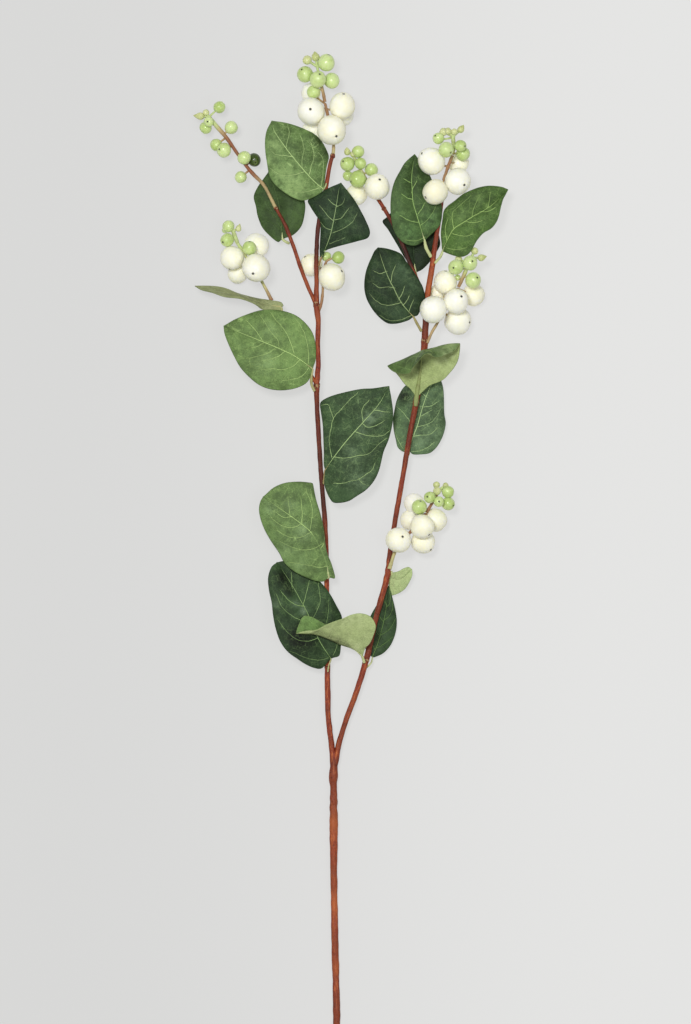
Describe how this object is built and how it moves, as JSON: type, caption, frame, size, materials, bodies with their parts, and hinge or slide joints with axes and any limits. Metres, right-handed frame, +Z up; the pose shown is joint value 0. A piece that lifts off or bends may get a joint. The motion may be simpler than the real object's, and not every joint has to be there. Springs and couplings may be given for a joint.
{
  "type": "snowberry stem",
  "caption": "Cut snowberry stem laid flat: a forked woody stem with short side twigs, broad veined leaves and bunches of white berries with green young berries and buds.",
  "frame": {"origin": "middle of the footprint's bounding box, on the surface that the stem lies on", "axes": "+Y along the stem from its cut end to its tips, +X to the right of the picture, +Z up from the surface towards the viewer"},
  "size_m": [0.1574, 0.4982, 0.0381],
  "materials": {
    "bark": "matte",
    "leaf_dark": "matte",
    "leaf_light": "matte",
    "leaf_pale": "matte",
    "white_berry": "satin",
    "green_berry": "satin"
  },
  "bodies": {
    "root": {"woody_stem": "bark", "leaf_top_left": "leaf_light", "leaf_behind_left_twig": "leaf_dark", "leaf_over_left_branch": "leaf_dark", "leaf_left_broad": "leaf_light", "leaf_left_edge_on": "leaf_pale", "leaf_right_of_left_branch": "leaf_dark", "leaf_centre_light": "leaf_light", "leaf_saddle": "leaf_dark", "leaf_folded_pale": "leaf_pale", "leaf_behind_right_branch_low": "leaf_dark", "leaf_small_right": "leaf_pale", "leaf_curled_over_right_branch": "leaf_pale", "leaf_behind_right_branch": "leaf_dark", "leaf_upper_middle": "leaf_dark", "leaf_upper_right": "leaf_dark", "leaf_right_tip": "leaf_light", "leaf_behind_upper_right": "leaf_dark", "top_bunch_white": "white_berry", "top_bunch_green": "green_berry", "left_spray_green": "green_berry", "left_bunch_white": "white_berry", "left_bunch_green": "green_berry", "centre_bunch_white": "white_berry", "centre_bunch_green": "green_berry", "middle_bunch_white": "white_berry", "middle_bunch_green": "green_berry", "right_tip_bunch_white": "white_berry", "right_tip_bunch_green": "green_berry", "right_bunch_white": "white_berry", "right_bunch_green": "green_berry", "lower_right_bunch_white": "white_berry", "lower_right_bunch_green": "green_berry"}
  },
  "joints": []
}
